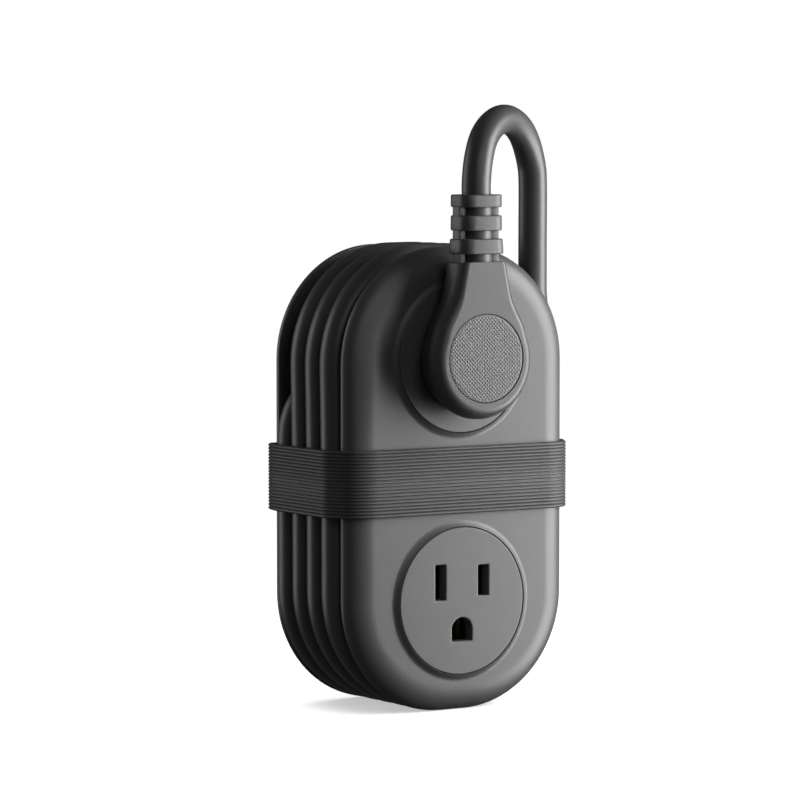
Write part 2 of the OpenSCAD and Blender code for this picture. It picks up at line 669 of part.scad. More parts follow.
front_cover();
winding_core();
rear_cover();
outlet_face_upper();
outlet_face_lower();
contact_carrier();
carrier_cover();
line_bus_bar();
neutral_bus_bar();
ground_bus_bar();
line_wire();
neutral_wire();
ground_wire();
wire_terminals();
cord_gland();
cord_tail();
carrier_screws();
body_screws();
elastic_band();
cord_winding();
cord_loop();
plug_body();
plug_core();
plug_grip_pad();
plug_strain_relief();
plug_line_blade();
plug_neutral_blade();
plug_ground_pin();
plug_crimps();
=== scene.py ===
"""Looks of a travel power strip: its casing, outlets, wound cord, elastic band and parked plug.

Lengths are in millimetres, and names that end in _m are in metres. X points right, Y to the back, Z up.
"""

import logging
import math
from dataclasses import dataclass, field
from enum import Enum
from typing import Any, Callable, Sequence

import bmesh
import bpy
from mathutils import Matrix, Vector
from mathutils.geometry import tessellate_polygon


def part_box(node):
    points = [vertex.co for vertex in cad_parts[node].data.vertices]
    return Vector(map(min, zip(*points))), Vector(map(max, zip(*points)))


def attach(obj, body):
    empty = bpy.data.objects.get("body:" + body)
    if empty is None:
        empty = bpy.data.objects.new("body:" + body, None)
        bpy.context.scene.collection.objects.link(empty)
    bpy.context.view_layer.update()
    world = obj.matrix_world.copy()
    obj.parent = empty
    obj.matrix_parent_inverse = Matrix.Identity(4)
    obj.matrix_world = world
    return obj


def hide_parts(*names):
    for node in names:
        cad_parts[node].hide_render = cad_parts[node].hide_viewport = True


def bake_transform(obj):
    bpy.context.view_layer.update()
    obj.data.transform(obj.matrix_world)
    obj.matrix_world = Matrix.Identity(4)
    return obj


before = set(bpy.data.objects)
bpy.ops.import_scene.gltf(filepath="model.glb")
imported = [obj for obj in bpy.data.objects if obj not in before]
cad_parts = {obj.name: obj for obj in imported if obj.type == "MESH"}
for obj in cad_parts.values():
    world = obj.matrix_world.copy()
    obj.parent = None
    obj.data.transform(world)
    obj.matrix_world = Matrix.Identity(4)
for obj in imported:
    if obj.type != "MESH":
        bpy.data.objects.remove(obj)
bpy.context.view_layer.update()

MM = 0.001
OUTLET_NODES = ("outlet_face_upper", "outlet_face_lower")
OUTLET_RISE = 0.8
Point2 = tuple[float, float]
Point3 = tuple[float, float, float]
Ring = list[int]
Colour = Point3
log = logging.getLogger("power_strip")


# ---------------------------------------------------------------- measures and small maths


class Body(Enum):
    """The bodies that pieces ride on."""

    HOUSING = "housing"
    BAND = "band"
    PLUG = "plug"


def box_mm(node: str) -> tuple[Vector, Vector]:
    """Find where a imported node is.

    Args:
        node: The node's name.

    Returns:
        Its lowest and highest corners, in millimetres.
    """
    low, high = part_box(node)
    return low / MM, high / MM


def middle(node: str) -> Point2:
    """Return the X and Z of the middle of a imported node's box."""
    low, high = box_mm(node)
    return (low.x + high.x) / 2, (low.z + high.z) / 2


def cover_face_y() -> float:
    """Return the depth of the front cover's face, which the outlets stand out from."""
    return box_mm("outlet_face_lower")[0].y + OUTLET_RISE


def smooth(t: float) -> float:
    """Return t eased in and out between 0 and 1."""
    t = min(max(t, 0.0), 1.0)
    return t * t * (3 - 2 * t)


def steps(first: float, last: float, count: int) -> list[float]:
    """Return count + 1 evenly spaced values from first to last."""
    return [first + (last - first) * i / count for i in range(count + 1)]


def quarter(count: int, first: float = 0, last: float = 90) -> list[Point2]:
    """Return the sines and cosines of count + 1 evenly spaced angles, given in degrees."""
    turns = [math.radians(angle) for angle in steps(first, last, count)]
    return [(math.sin(t), math.cos(t)) for t in turns]


def rounded_rectangle(width: float, height: float, radius: float, arc_steps: int = 8,
                      side_steps: int = 1) -> list[Point2]:
    """Outline a rounded rectangle that is centred on the origin.

    Args:
        width: Its width.
        height: Its height.
        radius: Its corner radius.
        arc_steps: Steps in each corner.
        side_steps: Steps along each straight side.

    Returns:
        Points that go round it anticlockwise, with equal counts for equal steps.
    """
    radius = min(radius, width / 2, height / 2)
    arcs: list[list[Point2]] = []
    for number, (sx, sz) in enumerate([(1, 1), (-1, 1), (-1, -1), (1, -1)]):
        x, z = sx * (width / 2 - radius), sz * (height / 2 - radius)
        arc = quarter(arc_steps, number * 90, number * 90 + 90)
        arcs.append([(x + radius * c, z + radius * s) for s, c in arc])
    points: list[Point2] = []
    for arc, following in zip(arcs, arcs[1:] + arcs[:1]):
        (x1, z1), (x2, z2) = arc[-1], following[0]
        points += arc + [(x1 + (x2 - x1) * t, z1 + (z2 - z1) * t) for t in steps(0, 1, side_steps)[1:-1]]
    return points


def circle(radius: float, count: int, centre: Point2 = (0, 0)) -> list[Point2]:
    """Return count points that go round a circle anticlockwise."""
    turns = [2 * math.pi * i / count for i in range(count)]
    return [(centre[0] + radius * math.cos(t), centre[1] + radius * math.sin(t)) for t in turns]


def shift(points: Sequence[Point2], dx: float, dz: float) -> list[Point2]:
    """Return the points moved by dx and dz."""
    return [(x + dx, z + dz) for x, z in points]


# ---------------------------------------------------------------- node trees


class Signal:
    """A node's socket that takes part in Python expressions."""

    def __init__(self, nodes: "Nodes", socket: bpy.types.NodeSocket) -> None:
        """Hold a socket and the tree that it belongs to."""
        self.nodes = nodes
        self.socket = socket

    def __add__(self, other: Any) -> "Signal":
        """Return self + other."""
        return self.nodes.math("ADD", self, other)

    __radd__ = __add__

    def __sub__(self, other: Any) -> "Signal":
        """Return self - other."""
        return self.nodes.math("SUBTRACT", self, other)

    def __rsub__(self, other: Any) -> "Signal":
        """Return other - self."""
        return self.nodes.math("SUBTRACT", other, self)

    def __mul__(self, other: Any) -> "Signal":
        """Return self * other."""
        return self.nodes.math("MULTIPLY", self, other)

    __rmul__ = __mul__

    def __truediv__(self, other: Any) -> "Signal":
        """Return self / other."""
        return self.nodes.math("DIVIDE", self, other)


class Nodes:
    """A node tree whose nodes are added by one method."""

    def __init__(self, tree: bpy.types.NodeTree) -> None:
        """Hold the tree, emptied."""
        self.tree = tree
        tree.nodes.clear()

    def node(self, kind: str, settings: dict[str, Any], inputs: dict[Any, Any], output: Any = 0) -> Signal:
        """Add a node.

        Args:
            kind: The node's type.
            settings: Attributes to set first; "stops" gives a colour ramp's positions and colours.
            inputs: Values or signals for its sockets, by name or number.
            output: The socket to return, by name or number.

        Returns:
            The chosen output.
        """
        made = self.tree.nodes.new(kind)
        for key, value in settings.items():
            if key == "stops":
                self._set_stops(made.color_ramp, value)
            else:
                setattr(made, key, value)
        for key, value in inputs.items():
            self.feed(made.inputs[key], value)
        return Signal(self, made.outputs[output])

    @staticmethod
    def _set_stops(ramp: bpy.types.ColorRamp, stops: Sequence[tuple[float, Colour]]) -> None:
        """Give a colour ramp its stops.

        Args:
            ramp: The ramp.
            stops: Their positions and colours.
        """
        while len(ramp.elements) < len(stops):
            ramp.elements.new(0.5)
        for element, (position, colour) in zip(ramp.elements, stops):
            element.position = position
            element.color = (*colour, 1)

    def feed(self, socket: bpy.types.NodeSocket, value: Any) -> None:
        """Link a signal to a socket, or set its value.

        Args:
            socket: The socket.
            value: A signal or a plain value.
        """
        if isinstance(value, Signal):
            self.tree.links.new(value.socket, socket)
        else:
            socket.default_value = value

    def math(self, operation: str, *values: Any) -> Signal:
        """Return the result of a Math node."""
        return self.node("ShaderNodeMath", {"operation": operation}, dict(enumerate(values)))


class Shader(Nodes):
    """One material's node tree and its main shader."""

    def __init__(self, name: str) -> None:
        """Make an empty material with one Principled shader.

        Args:
            name: The material's name.
        """
        self.material = bpy.data.materials.new(name)
        self.material.use_nodes = True
        super().__init__(self.material.node_tree)
        end = self.tree.nodes.new("ShaderNodeOutputMaterial")
        self.main = self.tree.nodes.new("ShaderNodeBsdfPrincipled")
        self.tree.links.new(self.main.outputs["BSDF"], end.inputs["Surface"])

    def place(self, scale: Point3 = (1, 1, 1)) -> Signal:
        """Read the object's coordinates.

        Args:
            scale: How much to stretch them along each axis.

        Returns:
            The coordinates, in millimetres.
        """
        where = self.node("ShaderNodeTexCoord", {}, {}, "Object")
        full = tuple(axis / MM for axis in scale)
        return self.node("ShaderNodeMapping", {}, {"Vector": where, "Scale": full})

    def noise(self, where: Signal, scale: float) -> Signal:
        """Return a noise between 0 and 1."""
        return self.node("ShaderNodeTexNoise", {}, {"Vector": where, "Scale": scale, "Detail": 3})

    def bump(self, height: Signal, distance_m: float) -> Signal:
        """Return a normal raised by a height."""
        return self.node("ShaderNodeBump", {}, {"Height": height, "Distance": distance_m})

    def tint(self, amount: Signal, low: Colour, high: Colour) -> Signal:
        """Return a colour between two."""
        return self.node("ShaderNodeValToRGB", {"stops": [(0.3, low), (0.7, high)]}, {0: amount})


@dataclass(frozen=True)
class Plastic:
    """Moulded plastic or rubber with a fine spark-eroded grain."""

    name: str
    colour: Colour
    roughness: float = 0.5
    grain: float = 2.4
    grain_depth_m: float = 0.00003
    mottle: float = 0.08

    def make(self) -> bpy.types.Material:
        """Build the material.

        Returns:
            The material.
        """
        shader = Shader(self.name)
        where = shader.place()
        cloud = shader.noise(where, 0.06)
        fine = shader.noise(where, self.grain)
        low = tuple(c * (1 - self.mottle) for c in self.colour)
        high = tuple(c * (1 + self.mottle) for c in self.colour)
        main = shader.main.inputs
        shader.feed(main["Base Color"], shader.tint(0.6 * cloud + 0.4 * fine, low, high))
        shader.feed(main["Roughness"], self.roughness - 0.06 + 0.08 * cloud + 0.04 * fine)
        shader.feed(main["Normal"], shader.bump(fine, self.grain_depth_m))
        return shader.material


@dataclass(frozen=True)
class Metal:
    """Rolled or plated metal with a faint brushed grain and slight tarnish."""

    name: str
    colour: Colour
    tarnish: Colour
    roughness: float = 0.28
    brush: Point3 = (1, 0.08, 1)
    brush_depth_m: float = 0.00001

    def make(self) -> bpy.types.Material:
        """Build the material.

        Returns:
            The material.
        """
        shader = Shader(self.name)
        brushed = shader.noise(shader.place(self.brush), 5)
        cloud = shader.noise(shader.place(), 0.25)
        main = shader.main.inputs
        shader.feed(main["Base Color"], shader.tint(0.7 * cloud + 0.3 * brushed, self.tarnish, self.colour))
        shader.feed(main["Roughness"], self.roughness - 0.08 + 0.1 * brushed + 0.08 * cloud)
        shader.feed(main["Normal"], shader.bump(brushed, self.brush_depth_m))
        main["Metallic"].default_value = 1.0
        return shader.material


class Finishes:
    """Every finish on the object, each made once."""

    def __init__(self) -> None:
        """Make the materials."""
        grey = (0.088, 0.088, 0.089)
        self.casing = Plastic("charcoal_casing", grey, roughness=0.42).make()
        self.core = Plastic("black_core", (0.03, 0.03, 0.031), roughness=0.5).make()
        self.outlet = Plastic("charcoal_outlet", (0.092, 0.092, 0.093), roughness=0.45, grain=3).make()
        self.insulator = Plastic("black_insulator", (0.012, 0.012, 0.012), roughness=0.55).make()
        self.cord = Plastic("cord_jacket", (0.07, 0.07, 0.071), roughness=0.4, grain=1.6, mottle=0.05).make()
        self.band = Plastic("band_rubber", (0.06, 0.06, 0.061), roughness=0.5, grain=4).make()
        self.plug = Plastic("plug_overmould", (0.08, 0.08, 0.081), roughness=0.42, grain=2).make()
        self.pad = Plastic("plug_grip", (0.105, 0.105, 0.106), roughness=0.45, grain=5).make()
        self.black_wire = Plastic("black_insulation", (0.02, 0.02, 0.02), roughness=0.35).make()
        self.white_wire = Plastic("white_insulation", (0.78, 0.78, 0.75), roughness=0.35, mottle=0.03).make()
        self.green_wire = Plastic("green_insulation", (0.04, 0.3, 0.1), roughness=0.35).make()
        self.brass = Metal("rolled_brass", (0.4, 0.28, 0.12), (0.26, 0.17, 0.07)).make()
        self.nickel = Metal("plated_blade", (0.75, 0.73, 0.7), (0.6, 0.58, 0.55), roughness=0.24).make()
        self.steel = Metal("zinc_screw", (0.6, 0.6, 0.62), (0.45, 0.45, 0.47), 0.3, brush=(1, 1, 1)).make()
        self.tin = Metal("tinned_terminal", (0.75, 0.75, 0.76), (0.6, 0.6, 0.62), roughness=0.35).make()


# ---------------------------------------------------------------- mesh making


class Shape:
    """Points in millimetres and faces, gathered shell by shell and made into one object."""

    def __init__(self) -> None:
        """Start with nothing."""
        self.points: list[Vector] = []
        self.faces: list[tuple[int, ...]] = []

    def ring(self, points: Sequence[Sequence[float]]) -> Ring:
        """Add points and return their numbers."""
        start = len(self.points)
        self.points.extend(Vector(p) for p in points)
        return list(range(start, len(self.points)))

    def front_ring(self, outline: Sequence[Point2], depth: float) -> Ring:
        """Add an outline seen from the front, at one depth."""
        return self.ring([(x, depth, z) for x, z in outline])

    def level_ring(self, outline: Sequence[Point2], height: float) -> Ring:
        """Add an outline seen from above, at one height."""
        return self.ring([(x, y, height) for x, y in outline])

    def bridge(self, one: Sequence[int], two: Sequence[int]) -> None:
        """Join two closed rings of equal length with quads.

        Args:
            one: The first ring.
            two: The second ring.
        """
        count = len(one)
        for i in range(count):
            j = (i + 1) % count
            self.faces.append((one[i], one[j], two[j], two[i]))

    def skin(self, rings: Sequence[Sequence[int]]) -> None:
        """Join a row of rings."""
        for one, two in zip(rings, rings[1:]):
            self.bridge(one, two)

    def rows(self, outline: Callable[[float], list[Point2]], profile: Sequence[Point2]) -> list[Ring]:
        """Skin an outline at a row of sizes and depths.

        Args:
            outline: Gives the outline for a size.
            profile: The sizes and depths, in order.

        Returns:
            The rings.
        """
        rings = [self.front_ring(outline(size), depth) for size, depth in profile]
        self.skin(rings)
        return rings

    def rounds(self, profile: Sequence[Point2], count: int, centre: Point2 = (0, 0)) -> list[Ring]:
        """Skin circles of count points at a row of radii and depths, and return the rings."""
        return self.rows(lambda radius: circle(radius, count, centre), profile)

    def fill(self, outer: Sequence[int], holes: Sequence[Sequence[int]] = ()) -> None:
        """Close a flat ring, leaving holes in it."""
        rings = [list(outer), *map(list, holes)]
        numbers = [n for ring in rings for n in ring]
        for a, b, c in tessellate_polygon([[self.points[n] for n in ring] for ring in rings]):
            self.faces.append((numbers[a], numbers[b], numbers[c]))

    def loft(self, rings: Sequence[Sequence[int]]) -> None:
        """Join a row of rings and close both ends.

        Args:
            rings: The rings, in order.
        """
        self.skin(rings)
        self.fill(rings[0])
        self.fill(rings[-1])

    def make(self, name: str, material: bpy.types.Material, sharp_degrees: float = 32) -> bpy.types.Object:
        """Make the object.

        Args:
            name: The piece's name.
            material: Its finish.
            sharp_degrees: Edges that turn by more than this stay crisp.

        Returns:
            The object, at the origin, in metres.
        """
        mesh = bpy.data.meshes.new(name)
        mesh.from_pydata([p * MM for p in self.points], [], self.faces)
        made = bmesh.new()
        made.from_mesh(mesh)
        bmesh.ops.remove_doubles(made, verts=made.verts, dist=0.002 * MM)
        bmesh.ops.dissolve_degenerate(made, edges=made.edges, dist=0.001 * MM)
        bmesh.ops.recalc_face_normals(made, faces=made.faces)
        made.to_mesh(mesh)
        made.free()
        return finish_mesh(name, mesh, material, sharp_degrees)


def link(name: str, data: bpy.types.ID) -> bpy.types.Object:
    """Put a new object in the scene.

    Args:
        name: Its name.
        data: Its mesh, camera or light.

    Returns:
        The object.
    """
    made = bpy.data.objects.new(name, data)
    bpy.context.scene.collection.objects.link(made)
    return made


def guide(name: str, points: Sequence[Vector], edges: Sequence[tuple[int, int]] = ()) -> bpy.types.Object:
    """Make loose points and edges for a tree to start from.

    Args:
        name: The object's name.
        points: The points, in millimetres.
        edges: Pairs of points.

    Returns:
        The object.
    """
    mesh = bpy.data.meshes.new(name)
    mesh.from_pydata([p * MM for p in points], edges, [])
    return link(name, mesh)


def finish_mesh(name: str, mesh: bpy.types.Mesh, material: bpy.types.Material,
                sharp_degrees: float = 32) -> bpy.types.Object:
    """Link a mesh as a smooth object with crisp edges.

    Args:
        name: The piece's name.
        mesh: Its mesh, in metres.
        material: Its finish.
        sharp_degrees: Edges that turn by more than this stay crisp.

    Returns:
        The object.
    """
    mesh.polygons.foreach_set("use_smooth", [True] * len(mesh.polygons))
    mesh.set_sharp_from_angle(angle=math.radians(sharp_degrees))
    mesh.materials.clear()
    mesh.materials.append(material)
    return link(name, mesh)


def settle(piece: bpy.types.Object, body: Body, slot: str, *nodes: str) -> bpy.types.Object:
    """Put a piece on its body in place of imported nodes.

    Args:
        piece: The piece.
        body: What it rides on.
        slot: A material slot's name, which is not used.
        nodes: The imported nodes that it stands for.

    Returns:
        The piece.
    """
    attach(piece, body.value)
    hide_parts(*nodes)
    log.info("%s: %d faces, for %s", piece.name, len(piece.data.polygons), ", ".join(nodes))
    return piece


def dress(material: bpy.types.Material, *nodes: str) -> None:
    """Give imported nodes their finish.

    Args:
        material: The finish.
        nodes: The nodes' names.
    """
    for node in nodes:
        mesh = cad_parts[node].data
        mesh.materials.clear()
        mesh.materials.append(material)
        log.info("%s: dressed in %s", node, material.name)


class Tree(Nodes):
    """A Geometry Nodes tree that is run once on a start mesh."""

    def __init__(self, name: str) -> None:
        """Make an empty tree with a geometry input and output."""
        super().__init__(bpy.data.node_groups.new(name, "GeometryNodeTree"))
        for way in ("INPUT", "OUTPUT"):
            self.tree.interface.new_socket(name="Geometry", in_out=way, socket_type="NodeSocketGeometry")
        self.entry = self.tree.nodes.new("NodeGroupInput")
        self.end = self.tree.nodes.new("NodeGroupOutput")
        self.values: dict[str, Any] = {}

    @property
    def start(self) -> Signal:
        """The start mesh."""
        return Signal(self, self.entry.outputs["Geometry"])

    def input(self, name: str, kind: str, value: Any) -> Signal:
        """Add a named input.

        Args:
            name: The input's name.
            kind: Its socket type, without the NodeSocket prefix.
            value: Its value on the modifier.

        Returns:
            The socket that carries it.
        """
        made = self.tree.interface.new_socket(name=name, in_out="INPUT", socket_type=f"NodeSocket{kind}")
        self.values[made.identifier] = value
        return Signal(self, self.entry.outputs[name])

    def vector(self, x: Any, y: Any, z: Any) -> Signal:
        """Return a vector made of three values."""
        return self.node("ShaderNodeCombineXYZ", {}, {0: x, 1: y, 2: z})

    def join(self, *parts: Signal) -> Signal:
        """Join several geometries into one.

        Args:
            parts: The geometries, in order.

        Returns:
            The joined geometry.
        """
        made = self.tree.nodes.new("GeometryNodeJoinGeometry")
        for part in parts:
            self.feed(made.inputs[0], part)
        return Signal(self, made.outputs[0])

    def run(self, geometry: Signal, start: bpy.types.Object, name: str, material: bpy.types.Material,
            sharp_degrees: float = 32) -> bpy.types.Object:
        """End the tree, run it and keep its result as a plain mesh.

        Args:
            geometry: The finished geometry.
            start: The object that the tree starts from, which is then removed.
            name: The piece's name.
            material: Its finish.
            sharp_degrees: Edges that turn by more than this stay crisp.

        Returns:
            The finished piece.
        """
        finish = self.input("Finish", "Material", material)
        real = self.node("GeometryNodeRealizeInstances", {}, {0: geometry})
        done = self.node("GeometryNodeSetMaterial", {}, {"Geometry": real, "Material": finish})
        self.feed(self.end.inputs[0], done)
        modifier = start.modifiers.new(self.tree.name, "NODES")
        modifier.node_group = self.tree
        for identifier, value in self.values.items():
            modifier[identifier] = value
        bpy.context.view_layer.update()
        graph = bpy.context.evaluated_depsgraph_get()
        mesh = bpy.data.meshes.new_from_object(start.evaluated_get(graph), depsgraph=graph)
        bpy.data.objects.remove(start)
        return finish_mesh(name, mesh, material, sharp_degrees)


# ---------------------------------------------------------------- studio


@dataclass
class Studio:
    """Camera, floor and lights."""

    direction: Point3 = (0.5427, 0.8373, -0.0663)
    distance_m: float = 1.0
    lens: float = 184.3
    aim_left: float = 18.34
    aim_drop: float = 9.56
    aim_height_m: float = 0.07
    floor_half: float = 9000
    # How far the floor's painted contact shadow reaches, in metres.
    painted_shadow_reach_m: float = 0.016

    def camera(self) -> None:
        """Put the camera at the front left, a little above the middle."""
        data = bpy.data.cameras.new("camera")
        data.lens = self.lens
        data.sensor_width = 36
        _, outlet_z = middle("outlet_face_upper")
        aim = Vector((-self.aim_left, cover_face_y() - OUTLET_RISE, outlet_z - self.aim_drop)) * MM
        way = Vector(self.direction).normalized()
        made = link("camera", data)
        made.location = aim - way * self.distance_m
        made.rotation_euler = way.to_track_quat("-Z", "Y").to_euler()
        bpy.context.scene.camera = made

    def area(self, name: str, place: Point3, size: Point2, watts: float) -> None:
        """Add a soft box that looks at the middle of the object.

        Args:
            name: The light's name.
            place: Where it hangs, in metres.
            size: Its width and height, in metres.
            watts: Its power.
        """
        data = bpy.data.lights.new(name, "AREA")
        data.shape = "RECTANGLE"
        data.size, data.size_y = size
        data.energy = watts
        made = link(name, data)
        made.location = place
        aim = Vector((0, 0, self.aim_height_m)) - Vector(place)
        made.rotation_euler = aim.to_track_quat("-Z", "Y").to_euler()

    def world(self, strength: float, shown: float) -> None:
        """Light the room evenly, and show it white to the camera.

        Args:
            strength: Its light on the object.
            shown: Its brightness behind the object.
        """
        made = bpy.data.worlds.new("studio")
        bpy.context.scene.world = made
        made.use_nodes = True
        room = Nodes(made.node_tree)
        end = room.tree.nodes.new("ShaderNodeOutputWorld")
        seen = room.node("ShaderNodeLightPath", {}, {}, "Is Camera Ray")
        dim, bright = [room.node("ShaderNodeBackground", {}, {"Color": (1, 1, 1, 1), "Strength": value})
                       for value in (strength, shown)]
        room.feed(end.inputs["Surface"], room.node("ShaderNodeMixShader", {}, {0: seen, 1: dim, 2: bright}))

    def floor(self) -> None:
        """Lay a pale glowing floor, with a painted contact shadow where ambient occlusion darkens its glow
        near the object.
        """
        shape, half = Shape(), self.floor_half
        shape.fill(shape.level_ring([(-half, -half), (half, -half), (half, half), (-half, half)], 0))
        pale = Shader("pale_floor")
        pale.main.inputs["Base Color"].default_value = (0.9, 0.9, 0.9, 1)
        pale.main.inputs["Roughness"].default_value = 0.6
        # Painted contact shadow: ambient occlusion darkens the floor's emission colour under and beside the
        # object.
        painted_contact_shadow = pale.node("ShaderNodeAmbientOcclusion", {"samples": 8}, {"Distance": self.painted_shadow_reach_m}, "AO")
        pale.feed(pale.main.inputs["Emission Color"], pale.tint(painted_contact_shadow, (0.5, 0.5, 0.5), (1, 1, 1)))
        pale.main.inputs["Emission Strength"].default_value = 0.97
        made = shape.make("floor", pale.material)
        made.visible_diffuse = False
        made.visible_glossy = False

    def build(self) -> None:
        """Set up the room."""
        self.camera()
        self.floor()
        self.world(0.05, 1.0)
        self.area("key_right", (0.26, -0.18, 0.08), (0.2, 0.42), 3.0)
        self.area("fill_front", (-0.15, -0.8, 0.5), (0.4, 0.4), 0.7)
        self.area("rim_left", (-0.5, 0.55, 0.15), (0.5, 0.7), 2.0)
        bpy.context.scene.view_settings.view_transform = "Standard"


# ---------------------------------------------------------------- casing


@dataclass
class Casing:
    """The front cover, the rear cover and the screws that hold them."""

    finishes: Finishes
    corner: float = 28.5
    edge_width: float = 7.0
    wall: float = 2.0
    rim_slope: Point2 = (1.1, 1.2)
    cord_gap: float = 0.1
    ring_width: float = 1.75
    ring_lead: float = 0.08
    ring_edge: float = 0.08
    seam: float = 0.15
    outlet_radius: float = 18.3
    rear_edge: float = 0.8
    rear_soft: float = 0.3
    packed_head_radius: float = 2.795
    head_radius: float = 2.72
    head_depth: float = 1.4
    seat_gap: float = 0.2
    seat_floor: float = 1.75
    shank_radius: float = 1.5
    shank_end: float = 24.0
    tip_radius: float = 0.4
    tip_end: float = 26.0
    recess_half: float = 1.5
    recess_width: float = 0.7
    recess_depth: float = 0.9
    recess_taper: float = 0.8
    screw_turn: float = 0.5
    flat: float = 0.12
    arc_steps: int = 24
    side_steps: int = 10
    ring_steps: int = 128

    def outline(self, inset: float) -> list[Point2]:
        """Outline the covers.

        Args:
            inset: How far it is set in.

        Returns:
            Points that go round them anticlockwise.
        """
        low, high = box_mm("rear_cover")
        width, height = high.x - low.x - 2 * inset, high.z - low.z - 2 * inset
        points = rounded_rectangle(width, height, self.corner - inset, self.arc_steps, self.side_steps)
        return shift(points, 0, (low.z + high.z) / 2)

    def outlet_rings(self, shape: Shape, face_y: float, inner_y: float) -> list[tuple[Ring, Ring]]:
        """Raise a soft ring round each outlet.

        Args:
            shape: The cover's shape.
            face_y: Depth of the cover's face.
            inner_y: Depth of the cover's inner face.

        Returns:
            Each ring's outermost loop on the face and its loop on the inner face.
        """
        lip = self.outlet_radius + self.seam
        span = self.ring_width - self.ring_edge
        profile = [(lip + self.ring_width + self.ring_lead, face_y)]
        for t in steps(0, 1, 12):
            rise = OUTLET_RISE * (1 - math.cos(t * math.pi / 2))
            profile.append((lip + self.ring_edge + (1 - t) * span, face_y - rise))
        profile += [(lip, face_y - OUTLET_RISE + self.ring_edge), (lip, inner_y)]
        loops = [shape.rounds(profile, self.ring_steps, middle(node)) for node in OUTLET_NODES]
        return [(loop[0], loop[-1]) for loop in loops]

    def front_cover(self) -> None:
        """Build the front cover with its broad soft edge and the raised rings."""
        face_y = cover_face_y()
        inner_y = face_y + self.wall
        rim_y = box_mm("cord_winding")[0].y - self.cord_gap
        edge, wall = self.edge_width, self.wall
        profile = [(edge + self.flat, face_y)]
        profile += [(edge * (1 - c), rim_y - (rim_y - face_y) * s) for s, c in quarter(20, 90, 0)]
        profile += [(0.15, rim_y), (wall, rim_y), (wall + self.rim_slope[0], rim_y - self.rim_slope[1]),
                    (edge + 0.1, inner_y)]
        shape = Shape()
        rings = shape.rows(self.outline, profile)
        outer, inner = zip(*self.outlet_rings(shape, face_y, inner_y))
        shape.fill(rings[0], outer)
        shape.fill(rings[-1], inner)
        made = shape.make("front_cover_shell", self.finishes.casing, 40)
        settle(made, Body.HOUSING, "casing", "front_cover")

    def screw_places(self) -> list[Point2]:
        """Return the X and Z of the screws in the rear cover."""
        low, high = box_mm("body_screws")
        radius = self.packed_head_radius
        return [(x, z) for x in (low.x + radius, high.x - radius) for z in (low.z + radius, high.z - radius)]

    def rear_cover(self) -> None:
        """Build the rear cover with a softened edge and sunk screw seats."""
        front_y = box_mm("cord_winding")[1].y + self.cord_gap
        back_y = box_mm("rear_cover")[1].y
        soft, edge = self.rear_soft, self.rear_edge
        profile = [(soft + 0.4, front_y)]
        profile += [(soft - soft * s, front_y + soft - soft * c) for s, c in quarter(3)]
        profile += [(edge - edge * c, back_y - edge + edge * s) for s, c in quarter(6)]
        profile.append((edge + 0.15, back_y))
        shape = Shape()
        rings = shape.rows(self.outline, profile)
        shape.fill(rings[0])
        wide = self.head_radius + self.seat_gap
        seat = [(wide + 0.4, back_y), (wide + 0.15, back_y), (wide, back_y - self.flat),
                (self.seat_floor, back_y - self.head_depth)]
        mouths = []
        for centre in self.screw_places():
            loops = shape.rounds(seat, 48, centre)
            shape.fill(loops[-1])
            mouths.append(loops[0])
        shape.fill(rings[-1], mouths)
        made = shape.make("rear_cover_shell", self.finishes.casing, 40)
        settle(made, Body.HOUSING, "casing", "rear_cover")

    def screw(self) -> bpy.types.Object:
        """Build one flat-headed screw with a cross recess.

        Returns:
            The screw, with its head's centre at the origin.
        """
        shape, head = Shape(), self.head_radius
        loops = shape.rounds([(head - 0.12, 0.0), (head, -0.1), (head, -0.22),
                              (self.shank_radius, -self.head_depth), (self.shank_radius, -self.shank_end),
                              (self.tip_radius, -self.tip_end)], 40)
        arm, half = self.recess_half, self.recess_width / 2
        turns = [(1, 0), (0, 1), (-1, 0), (0, -1)]
        corners = [(arm, -half), (arm, half), (half, half)]
        cross = [(x * c - z * s, x * s + z * c) for c, s in turns for x, z in corners]
        recess = shape.rows(lambda size: [(x * size, z * size) for x, z in cross],
                            [(1, 0), (self.recess_taper, -self.recess_depth)])
        shape.fill(loops[0], [recess[0]])
        shape.fill(loops[-1])
        shape.fill(recess[-1])
        return shape.make("screw", self.finishes.steel)

    def screws(self) -> None:
        """Set a screw in each seat with Geometry Nodes."""
        back_y = box_mm("body_screws")[1].y
        start = guide("screw_spots", [Vector((x, back_y, z)) for x, z in self.screw_places()])
        one = self.screw()
        tree = Tree("screws_on_points")
        pattern = tree.input("Screw", "Object", one)
        turn = tree.input("Turn", "Float", self.screw_turn)
        held = tree.node("GeometryNodeObjectInfo", {}, {"Object": pattern}, "Geometry")
        number = tree.node("GeometryNodeInputIndex", {}, {})
        rotation = tree.node("FunctionNodeEulerToRotation", {}, {0: tree.vector(0, number * turn, 0)})
        placed = tree.node("GeometryNodeInstanceOnPoints", {},
                           {"Points": tree.start, "Instance": held, "Rotation": rotation})
        made = tree.run(placed, start, "rear_cover_screws", self.finishes.steel)
        bpy.data.objects.remove(one)
        settle(made, Body.HOUSING, "screw_steel", "body_screws")

    def build(self) -> None:
        """Build and dress the casing."""
        self.front_cover()
        self.rear_cover()
        self.screws()
        dress(self.finishes.core, "winding_core")


# ---------------------------------------------------------------- outlets


